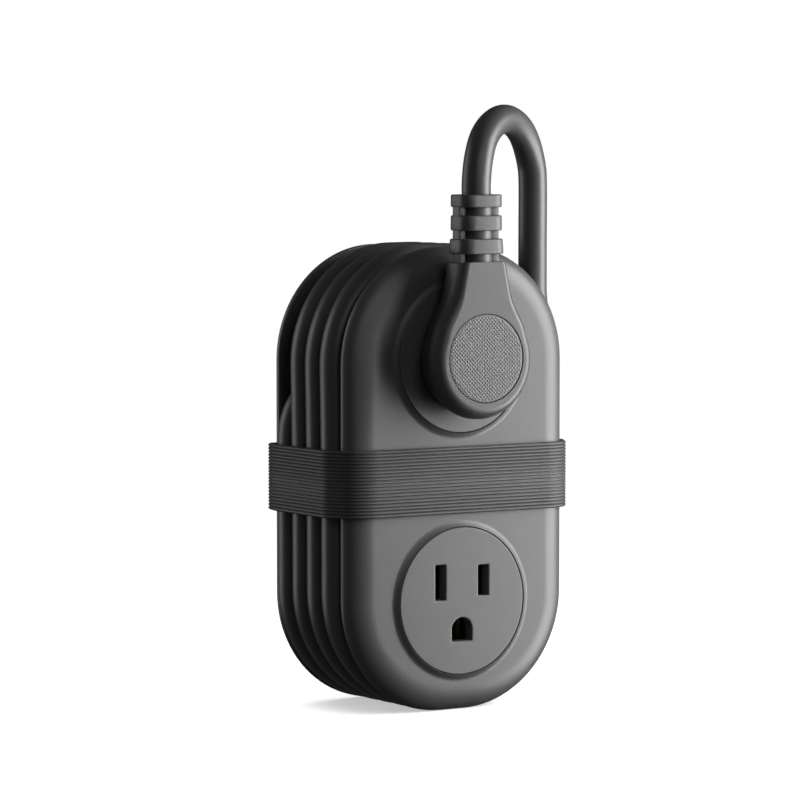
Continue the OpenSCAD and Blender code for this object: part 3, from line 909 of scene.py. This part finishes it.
@dataclass
class Outlets:
    """The two outlet discs and the contacts behind them."""

    finishes: Finishes
    thickness: float = 3.0
    flange: float = 1.5
    edge: float = 0.3
    chamfer: float = 0.28
    flat: float = 0.12
    foot_soft: float = 0.2
    blade_x: float = 6.35
    slot_up: float = 4.8
    slot_width: float = 3.1
    line_height: float = 7.6
    neutral_height: float = 8.8
    ground_drop: float = 11.9
    ground_width: float = 6.0
    ground_height: float = 5.9

    def slot(self, side: int, height: float, grow: float) -> list[Point2]:
        """Return a blade slot's outline, grown all round."""
        outline = rounded_rectangle(self.slot_width + 2 * grow, height + 2 * grow, 0.2 + grow, 4)
        return shift(outline, side * self.blade_x, self.slot_up)

    def ground(self, grow: float) -> list[Point2]:
        """Outline the ground hole, an arch on a flat foot.

        Args:
            grow: How much to grow it all round.

        Returns:
            Points that go round it anticlockwise.
        """
        half = self.ground_width / 2 + grow
        foot = -self.ground_height / 2 - grow
        crown = self.ground_height / 2 - self.ground_width / 2
        arch = [(half * c, crown + half * s) for s, c in quarter(24, 0, 180)]
        soft = self.foot_soft
        feet = [(-half, foot + soft), (-half + soft, foot), (half - soft, foot), (half, foot + soft)]
        return shift(arch + feet, 0, self.slot_up - self.ground_drop)

    def disc(self, node: str) -> None:
        """Build one outlet disc with softened slots.

        Args:
            node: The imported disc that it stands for.
        """
        low, high = box_mm(node)
        radius = (high.x - low.x) / 2 - self.flange
        _, centre_z = middle(node)
        front, back = low.y, low.y + self.thickness
        edge, chamfer = self.edge, self.chamfer
        profile = [(radius - edge - 0.15, front)]
        profile += [(radius - edge + edge * s, front + edge - edge * c) for s, c in quarter(5)]
        profile += [(radius, back - 0.05), (radius - 0.05, back)]
        shape = Shape()
        loops = shape.rounds(profile, 144, (0, centre_z))
        outlines: list[Callable[[float], list[Point2]]] = [
            lambda grow: self.slot(1, self.line_height, grow),
            lambda grow: self.slot(-1, self.neutral_height, grow),
            self.ground,
        ]
        mouth = [(chamfer + self.flat, front), (chamfer, front), (chamfer * 0.3, front + chamfer * 0.3),
                 (0, front + chamfer), (0, back)]
        holes = [shape.rows(lambda grow: shift(outline(grow), 0, centre_z), mouth) for outline in outlines]
        shape.fill(loops[0], [hole[0] for hole in holes])
        shape.fill(loops[-1], [hole[-1] for hole in holes])
        settle(shape.make(f"{node}_disc", self.finishes.outlet, 40), Body.HOUSING, "outlet_face", node)

    def build(self) -> None:
        """Build the discs and dress what is behind them."""
        for node in OUTLET_NODES:
            self.disc(node)
        finishes = self.finishes
        dress(finishes.insulator, "contact_carrier", "carrier_cover")
        dress(finishes.brass, "line_bus_bar", "neutral_bus_bar", "ground_bus_bar")
        dress(finishes.black_wire, "line_wire")
        dress(finishes.white_wire, "neutral_wire")
        dress(finishes.green_wire, "ground_wire")
        dress(finishes.tin, "wire_terminals")
        dress(finishes.steel, "carrier_screws")


# ---------------------------------------------------------------- cord


@dataclass
class Cord:
    """The flex from the body's left side, round the core and over to the plug."""

    finishes: Finishes
    diameter: float = 7.2
    turns: int = 3
    corner: float = 26.6
    exit_bend: float = 14.4
    arc_steps: int = 26
    sides: int = 36
    step: float = 1.6
    lane_pitch: float = 6.8
    bend_slope: float = 2.0
    shift_end: float = 22.0
    lean_from: float = 85.4
    lean_to: float = 104.0
    route_m: tuple[Point3, ...] = (
        (0.027, -0.0096, 0.116), (0.027, -0.0096, 0.131), (0.0261, -0.01, 0.136), (0.0235, -0.0114, 0.141),
        (0.02, -0.0134, 0.1443), (0.0155, -0.0158, 0.1462), (0.011, -0.0182, 0.1462),
        (0.0065, -0.0206, 0.1443), (0.003, -0.0226, 0.141), (0.0008, -0.0239, 0.136),
        (0, -0.0243, 0.131), (0, -0.0243, 0.128),
    )
    radius: float = field(init=False)
    half_width: float = field(init=False)
    low_z: float = field(init=False)
    high_z: float = field(init=False)
    first_lane: float = field(init=False)
    last_lane: float = field(init=False)
    path: list[Vector] = field(init=False)

    def __post_init__(self) -> None:
        """Measure the winding and lay the centreline."""
        low, high = box_mm("cord_winding")
        self.radius = self.diameter / 2
        self.half_width = high.x - self.radius
        self.low_z = low.z + self.radius + self.corner
        self.high_z = high.z - self.radius - self.corner
        self.last_lane = high.y - self.radius
        self.first_lane = self.last_lane - self.turns * self.lane_pitch
        self.path = self.centreline()

    def arc(self, side: int, centre_z: float, first: float, last: float) -> list[Point2]:
        """Trace a corner of the winding.

        Args:
            side: -1 for the left corner, 1 for the right one.
            centre_z: Height of its centre.
            first: Angle that it starts at, in degrees.
            last: Angle that it ends at.

        Returns:
            X and Z along it.
        """
        centre_x = side * (self.half_width - self.corner)
        turns = quarter(self.arc_steps, first, last)
        return [(centre_x + self.corner * c, centre_z + self.corner * s) for s, c in turns]

    def underside(self) -> list[Point2]:
        """Return X and Z along the winding's lower end, from left to right."""
        return self.arc(-1, self.low_z, 180, 270) + self.arc(1, self.low_z, -90, 0)

    def rest_of_lap(self) -> list[Point2]:
        """Return X and Z of one turn up the right side, over the upper end and down the left side."""
        right = [(self.half_width, z) for z in steps(self.low_z, self.high_z, 20)[1:-1]]
        top = self.arc(1, self.high_z, 0, 90) + self.arc(-1, self.high_z, 90, 180)
        return right + top + [(-self.half_width, z) for z in steps(self.high_z, self.low_z, 24)[1:-1]]

    def centreline(self) -> list[Vector]:
        """Lay the whole route.

        Returns:
            Points from the exit to the plug, in millimetres.
        """
        left, bend = -self.half_width, self.exit_bend
        exit_z = box_mm("cord_tail")[0].z
        start = math.degrees(math.acos((self.radius - bend) / bend))
        points = [Vector((left + bend + bend * c, self.last_lane, exit_z + bend * s))
                  for s, c in quarter(10, start, 180)]
        points += [Vector((left, self.last_lane, z)) for z in steps(exit_z, self.low_z, 16)[1:-1]]
        for number in range(self.turns):
            lane = self.last_lane - number * self.lane_pitch
            points += [Vector((x, lane, z)) for x, z in self.underside()]
            turn = self.rest_of_lap()
            points += [Vector((x, lane - self.lane_pitch * moved, z))
                       for moved, (x, z) in zip(self.lane_shifts(turn), turn)]
        points += [Vector((x, self.first_lane, z)) for x, z in self.underside()]
        route = [Vector(p) / MM for p in self.route_m]
        points += [Vector((self.half_width, self.first_lane, z))
                   for z in steps(self.low_z, self.lean_from, 20)[1:]]
        for z in steps(self.lean_from, self.lean_to, 10)[1:]:
            lean = smooth((z - self.lean_from) / (self.lean_to - self.lean_from))
            upright = Vector((self.half_width, self.first_lane, z))
            points.append(upright.lerp(Vector((route[0].x, route[0].y, z)), lean))
        return self.spaced(points + self.curve(route))

    def lane_shifts(self, turn: list[Point2]) -> list[float]:
        """Share out the move to the next lane along the last part of a turn.

        Args:
            turn: X and Z from the lower end of the right side, over the top and down the left side.

        Returns:
            How far each point has moved, from 0 to 1.
        """
        rise = self.high_z - self.low_z
        crown = self.corner * math.pi + 2 * (self.half_width - self.corner)
        first = rise + self.corner * math.pi / 4
        last = rise + crown + self.high_z - self.shift_end
        gone, result = 0.0, []
        before = turn[0]
        for point in turn:
            gone += math.dist(before, point)
            before = point
            t = min(max((gone - first) / (last - first), 0), 1)
            result.append((1 - (1 - t) ** 3) * smooth(t * 4))
        return result

    @staticmethod
    def curve(points: list[Vector], pieces: int = 6) -> list[Vector]:
        """Draw a smooth curve through points.

        Args:
            points: The points.
            pieces: Steps between two of them.

        Returns:
            The curve's points.
        """
        full = [points[0] * 2 - points[1], *points, points[-1] * 2 - points[-2]]
        result = []
        for a, b, c, d in zip(full, full[1:], full[2:], full[3:]):
            for t in steps(0, 1, pieces)[:-1]:
                result.append(0.5 * (2 * b + (c - a) * t + (2 * a - 5 * b + 4 * c - d) * t * t
                                     + (3 * b - a - 3 * c + d) * t ** 3))
        return result + [points[-1]]

    def spaced(self, points: list[Vector]) -> list[Vector]:
        """Space points evenly along a line.

        Args:
            points: The line's corners.

        Returns:
            Points one step apart, and the last corner.
        """
        result, left = [points[0]], self.step
        for one, two in zip(points, points[1:]):
            length = (two - one).length
            at = left
            while at <= length and length > 0:
                result.append(one.lerp(two, at / length))
                at += self.step
            left = at - length
        return result + [points[-1]]

    def tube(self) -> bpy.types.Object:
        """Sweep the jacket along the centreline.

        Returns:
            The cord.
        """
        shape, line = Shape(), self.path
        across = Vector((0, 1, 0))
        turns = [2 * math.pi * k / self.sides for k in range(self.sides)]
        rings = []
        for i, point in enumerate(line):
            along = (line[min(i + 1, len(line) - 1)] - line[max(i - 1, 0)]).normalized()
            across = (across - along * across.dot(along)).normalized()
            side = along.cross(across)
            spokes = [math.cos(t) * across + math.sin(t) * side for t in turns]
            rings.append(shape.ring([point + self.radius * spoke for spoke in spokes]))
        shape.loft(rings)
        return shape.make("cord", self.finishes.cord)

    @property
    def length(self) -> float:
        """The centreline's length."""
        return sum((two - one).length for one, two in zip(self.path, self.path[1:]))

    def build(self, with_pieces: Sequence[Any]) -> None:
        """Args:
            with_pieces: The plug's pieces, which are not used.
        """
        made = self.tube()
        dress(self.finishes.cord, "cord_tail", "cord_gland")
        first = Vector((0, self.first_lane - self.radius, box_mm("cord_winding")[1].z))
        held = self.path[-1] + Vector((0, self.radius, 0))
        slope = Vector((0, -1, self.bend_slope)).normalized()
        last = first + slope * (held - first).dot(slope)
        tuple(last * MM)
        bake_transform(made)
        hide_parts("cord_winding", "cord_loop")
        tuple(self.path[0] * MM)
        self.length * MM
        [tuple(p * MM) for p in self.path]
        log.info("cord: %.0f mm from exit to plug", self.length)


# ---------------------------------------------------------------- elastic band


@dataclass
class Band:
    """The ribbed elastic band, stretched round the covers and the wound cord."""

    finishes: Finishes
    ribs: int = 20
    rib_depth: float = 0.3
    rib_steps: int = 8
    gap: float = 0.2
    edge_width: float = 7.0
    edge_depth: float = 4.2
    strand_radius: float = 3.6
    rear_radius: float = 2.0
    rear_stand: float = 1.1
    line_steps: int = 240

    def line(self, middle_out: float) -> list[Point2]:
        """Trace the line of the band, seen from above, as the hull of the discs that it is stretched over.

        Args:
            middle_out: How far the middle of the band's thickness lies outside them.

        Returns:
            Points of X and Y round the band.
        """
        corner, core = box_mm("rear_cover")[1], box_mm("cord_winding")
        face, strand, rear = cover_face_y(), self.strand_radius, self.rear_radius
        discs: list[Point3] = []
        for side in (-1, 1):
            discs += [(side * (corner.x - self.edge_width * (1 - c)), face + self.edge_depth * (1 - s), 0)
                      for s, c in quarter(18)]
            discs += [(side * (core[1].x - strand), y, strand)
                      for y in (core[0].y + strand, core[1].y - strand)]
            discs.append((side * (corner.x + self.rear_stand - rear), corner.y - rear, rear))
        points: list[Point2] = []
        for angle in steps(0, 360, self.line_steps)[:-1]:
            nx, ny = math.cos(math.radians(angle)), math.sin(math.radians(angle))
            x, y, r = max(discs, key=lambda d: d[0] * nx + d[1] * ny + d[2])
            points.append((x + (r + middle_out) * nx, y + (r + middle_out) * ny))
        return points

    def build(self) -> None:
        """Sweep the ribbed section round the band's line with Geometry Nodes."""
        low, high = box_mm("elastic_band")
        inside = box_mm("rear_cover")[1].y - cover_face_y() + 2 * self.gap
        thickness = (high.y - low.y - inside) / 2
        outline = self.line(self.gap + thickness / 2)
        count = len(outline)
        start = guide("band_line", [Vector((x, y, (low.z + high.z) / 2)) for x, y in outline],
                      [(i, (i + 1) % count) for i in range(count)])
        tree = Tree("ribbed_band")
        ribs = tree.input("Ribs", "Float", float(self.ribs))
        tall = tree.input("Height", "Float", (high.z - low.z) * MM)
        thick = tree.input("Thickness", "Float", thickness * MM)
        depth = tree.input("Rib Depth", "Float", self.rib_depth * MM)
        side_count = self.ribs * self.rib_steps
        section = tree.node("GeometryNodeCurvePrimitiveCircle", {"mode": "RADIUS"},
                            {"Resolution": 2 * side_count})
        number = tree.node("GeometryNodeInputIndex", {}, {})
        outer = tree.math("LESS_THAN", number, side_count - 0.5)
        flip = outer * 2.0 - 1.0
        along = (number - (1.0 - outer) * side_count) / (side_count - 1)
        wave = tree.math("ABSOLUTE", tree.math("SINE", along * ribs * math.pi))
        out_at = thick * 0.5 * flip - (1.0 - wave) * depth * outer
        place = tree.vector(out_at, (along * tall - tall * 0.5) * flip, 0)
        shaped = tree.node("GeometryNodeSetPosition", {}, {"Geometry": section, "Position": place})
        rail = tree.node("GeometryNodeMeshToCurve", {}, {0: tree.start})
        upright = tree.node("GeometryNodeSetCurveNormal", {"mode": "Z_UP"}, {0: rail})
        swept = tree.node("GeometryNodeCurveToMesh", {}, {"Curve": upright, "Profile Curve": shaped})
        made = tree.run(swept, start, "elastic_band_ribbed", self.finishes.band, 50)
        settle(made, Body.BAND, "band_rubber", "elastic_band")


# ---------------------------------------------------------------- plug


@dataclass
class Plug:
    """The round-headed plug with its knurled pad and segmented strain relief."""

    finishes: Finishes
    head_radius: float = 14.6
    face_radius: float = 12.6
    flat_radius: float = 11.8
    face_soft: float = 0.3
    flat: float = 0.12
    top_chamfer: float = 0.3
    wide_depth: float = 6.2
    neck_half: float = 7.0
    neck_spread: float = 0.2
    neck_blend: float = 5.5
    neck_blend_rise: float = 9.0
    neck_round: float = 4.0
    neck_inset: float = 0.8
    pad_gap: float = 0.1
    pad_depth: float = 0.9
    core_radius: float = 10.52
    core_depth: float = 5.0
    knurl_pitch: float = 0.7
    knurl_height: float = 0.1
    knurl_foot: float = 0.66
    knurl_tip: float = 0.16
    pad_sunk: float = 0.12
    collar_soft: float = 0.3
    collar_corner: float = 3.2
    relief_core: float = 3.9
    tie_size: Point2 = (2.1, 3.0)
    tie_place: Point2 = (4.85, 0.2)
    lower_steps: int = 40
    upper_steps: int = 44
    top_steps: int = 8
    front_y: float = field(init=False)
    face_y: float = field(init=False)
    centre_z: float = field(init=False)
    top: float = field(init=False)

    def __post_init__(self) -> None:
        """Read the plug's place."""
        low, high = box_mm("plug_body")
        self.front_y, self.face_y = low.y, high.y
        self.centre_z = low.z + self.head_radius
        self.top = high.z - self.centre_z

    def distance(self, x: float, z: float, radius: float, neck_in: float) -> float:
        """Measure how far a point lies outside the head and neck.

        Args:
            x: Its distance from the middle.
            z: Its height over the head's centre.
            radius: The head's radius at this depth.
            neck_in: How far the neck is set in at this depth.

        Returns:
            The distance, which is negative inside.
        """
        head = math.hypot(x, z) - radius
        half = self.neck_half + self.neck_spread * (self.top - z) - neck_in
        neck = max((abs(x) - half) / math.hypot(1, self.neck_spread), -z - 2)
        reach = self.neck_blend * smooth(z / self.neck_blend_rise) + 0.01
        blend = max(reach - abs(head - neck), 0) / reach
        return min(head, neck) - blend * blend * reach / 4

    def reach(self, origin_z: float, dx: float, dz: float, radius: float, neck_in: float) -> Point2:
        """Find where a ray from the middle line leaves the plug.

        Args:
            origin_z: Height that the ray starts at.
            dx: Its direction across.
            dz: Its direction up.
            radius: The head's radius at this depth.
            neck_in: How far the neck is set in at this depth.

        Returns:
            The X and Z of the point.
        """
        near, far = 0.0, 2.5 * self.head_radius
        for _ in range(40):
            middle = (near + far) / 2
            if self.distance(middle * dx, origin_z + middle * dz, radius, neck_in) < 0:
                near = middle
            else:
                far = middle
        return near * dx, origin_z + near * dz

    def outline(self, radius: float, neck_in: float) -> list[Point2]:
        """Outline the plug at one depth.

        Args:
            radius: The head's radius there.
            neck_in: How far the neck is set in there.

        Returns:
            Points round it, from the lowest one.
        """
        right = [self.reach(0, c, s, radius, neck_in) for s, c in quarter(self.lower_steps, -90, 0)[:-1]]
        right += [self.reach(height, 1, 0, radius, neck_in)
                  for height in steps(0, self.top - self.top_chamfer, self.upper_steps)]
        corner = right[-1][0] - self.top_chamfer
        right += [(corner * t, self.top) for t in steps(1, 0, self.top_steps)]
        left = [(-x, z) for x, z in right[-2:0:-1]]
        return shift(right + left, 0, self.centre_z)

    def body(self) -> bpy.types.Object:
        """Build the overmould: head, neck, the pad's recess and the core's socket.

        Returns:
            The overmould.
        """
        shape = Shape()
        face_y, wide_y, wide = self.face_y, self.face_y - self.wide_depth, self.head_radius
        rings = [(face_y, self.face_radius - 0.45, self.neck_round + 0.3)]
        for t in steps(0, 1, 14):
            out = math.sin(t * math.pi / 2)
            radius = self.face_radius + (wide - self.face_radius) * out - (0 if t else self.face_soft)
            neck_in = self.neck_round * (1 - math.sin(math.acos(1 - min(t * 1.6, 1))))
            rings.append((face_y - self.wide_depth * out, radius, neck_in))
        round_in = wide - self.flat_radius
        for s, c in quarter(16)[1:]:
            inset = round_in * (1 - c)
            rings.append((wide_y - (wide_y - self.front_y) * s, wide - inset, self.neck_inset * inset))
        rings.append((self.front_y, self.flat_radius - self.flat, self.neck_inset * round_in + self.flat))
        loops = [shape.front_ring(self.outline(radius, neck_in), y) for y, radius, neck_in in rings]
        shape.skin(loops)
        low, high = box_mm("plug_grip_pad")
        pad = (high.x - low.x) / 2 + self.pad_gap
        recess = shape.rounds([(pad + 0.1, self.front_y), (pad, self.front_y + 0.1),
                               (pad, self.front_y + self.pad_depth)], 128, (0, (low.z + high.z) / 2))
        socket = shape.rounds([(self.core_radius, face_y), (self.core_radius, face_y - self.core_depth)], 96,
                              (0, self.centre_z))
        for flat, hole in ((loops[-1], recess), (loops[0], socket)):
            shape.fill(flat, [hole[0]])
            shape.fill(hole[-1])
        made = shape.make("plug_overmould_body", self.finishes.plug, 40)
        return settle(made, Body.PLUG, "plug_overmould", "plug_body")

    def pad(self) -> bpy.types.Object:
        """Build the thumb pad and cover it with knurls by Geometry Nodes.

        Returns:
            The pad.
        """
        low, high = box_mm("plug_grip_pad")
        radius = (high.x - low.x) / 2
        centre = Vector((0, low.y + self.pad_sunk, (low.z + high.z) / 2))
        shape = Shape()
        loops = shape.rounds([(radius - 0.35, centre.y), (radius - 0.25, centre.y),
                              (radius - 0.08, centre.y + 0.06), (radius, centre.y + 0.2), (radius, high.y)],
                             128, (0, centre.z))
        shape.fill(loops[0])
        shape.fill(loops[-1])
        start = shape.make("pad_base", self.finishes.pad)
        tree = Tree("knurled_pad")
        spread = tree.input("Radius", "Float", (radius - 0.45) * MM)
        pitch = tree.input("Pitch", "Float", self.knurl_pitch * MM)
        height = tree.input("Knurl Height", "Float", self.knurl_height * MM)
        count = 2 * int(radius / self.knurl_pitch) + 3
        size = pitch * float(count - 1)
        grid = tree.node("GeometryNodeMeshGrid", {},
                         {"Size X": size, "Size Y": size, "Vertices X": count, "Vertices Y": count})
        place = tree.node("GeometryNodeInputPosition", {}, {})
        far = tree.node("ShaderNodeVectorMath", {"operation": "LENGTH"}, {0: place}, "Value")
        outside = tree.node("FunctionNodeCompare", {"data_type": "FLOAT", "operation": "GREATER_THAN"},
                            {0: far, 1: spread})
        spots = tree.node("GeometryNodeDeleteGeometry", {"domain": "POINT"},
                          {"Geometry": grid, "Selection": outside})
        tip, wide = pitch * self.knurl_tip, pitch * self.knurl_foot
        cone = tree.node("GeometryNodeMeshCone", {},
                         {"Vertices": 4, "Radius Top": tip, "Radius Bottom": wide, "Depth": height})
        aslant = {"Rotation": (0, 0, math.pi / 4)}
        turned = tree.node("GeometryNodeTransform", {}, {"Geometry": cone, **aslant})
        many = tree.node("GeometryNodeInstanceOnPoints", {}, {"Points": spots, "Instance": turned})
        upright = tree.node("GeometryNodeTransform", {}, {"Geometry": many, **aslant})
        facing = tree.node("GeometryNodeTransform", {}, {
            "Geometry": upright, "Translation": tuple(centre * MM), "Rotation": (math.pi / 2, 0, 0)})
        made = tree.run(tree.join(facing, tree.start), start, "plug_grip_knurled", self.finishes.pad, 25)
        return settle(made, Body.PLUG, "plug_overmould", "plug_grip_pad")

    def collar(self, shape: Shape, foot: float, head: float, foot_width: float, head_width: float) -> None:
        """Add a rounded collar of the strain relief.

        Args:
            shape: The relief's shape.
            foot: Its lower end.
            head: Its upper end.
            foot_width: Its width at the lower end.
            head_width: Its width at the upper end.
        """
        low, high = box_mm("plug_strain_relief")
        soft, depth = self.collar_soft, high.y - low.y
        loops = []
        for z, inset in ((foot, soft), (foot + 0.1, 0.1), (foot + soft, 0),
                         (head - soft, 0), (head - 0.1, 0.1), (head, soft)):
            width = foot_width + (head_width - foot_width) * (z - foot) / (head - foot)
            outline = rounded_rectangle(width - 2 * inset, depth - 2 * inset, self.collar_corner - inset)
            loops.append(shape.level_ring(shift(outline, 0, (low.y + high.y) / 2), z))
        shape.loft(loops)

    def relief(self) -> bpy.types.Object:
        """Build the strain relief: three collars, two ties and a round core.

        Returns:
            The strain relief.
        """
        low, high = box_mm("plug_strain_relief")
        foot, centre_y = low.z, (low.y + high.y) / 2
        shape = Shape()
        self.collar(shape, foot + 2, foot + 5.7, 13.1, 12.5)
        self.collar(shape, foot + 7.7, foot + 11.4, 12.1, 12)
        self.collar(shape, foot + 13.4, high.z, 12, 12)
        tie = rounded_rectangle(*self.tie_size, 0.2, 4)
        tie_x, tie_back = self.tie_place
        posts = [(circle(self.relief_core, 48), high.z - 0.5)]
        posts += [(shift(tie, side * tie_x, tie_back), high.z - 1) for side in (-1, 1)]
        for outline, head in posts:
            shape.loft([shape.level_ring(shift(outline, 0, centre_y), z) for z in (foot - 0.2, head)])
        made = shape.make("plug_relief", self.finishes.plug, 40)
        return settle(made, Body.PLUG, "plug_overmould", "plug_strain_relief")

    def build(self) -> list[Any]:
        """Build the plug.

        Returns:
            Its pieces.
        """
        made = [self.body(), self.pad(), self.relief()]
        dress(self.finishes.insulator, "plug_core")
        dress(self.finishes.nickel, "plug_line_blade", "plug_neutral_blade", "plug_ground_pin")
        dress(self.finishes.brass, "plug_crimps")
        inner = ("plug_core", "plug_line_blade", "plug_neutral_blade", "plug_ground_pin", "plug_crimps")
        return made + [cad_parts[node] for node in inner]


def main() -> None:
    """Build the object's looks."""
    logging.basicConfig(level=logging.INFO, format="%(message)s")
    Studio().build()
    finishes = Finishes()
    plug = Plug(finishes)
    plug_pieces = plug.build()
    Cord(finishes).build(plug_pieces)
    Casing(finishes).build()
    Outlets(finishes).build()
    Band(finishes).build()
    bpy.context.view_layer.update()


if __name__ == "__main__":
    main()
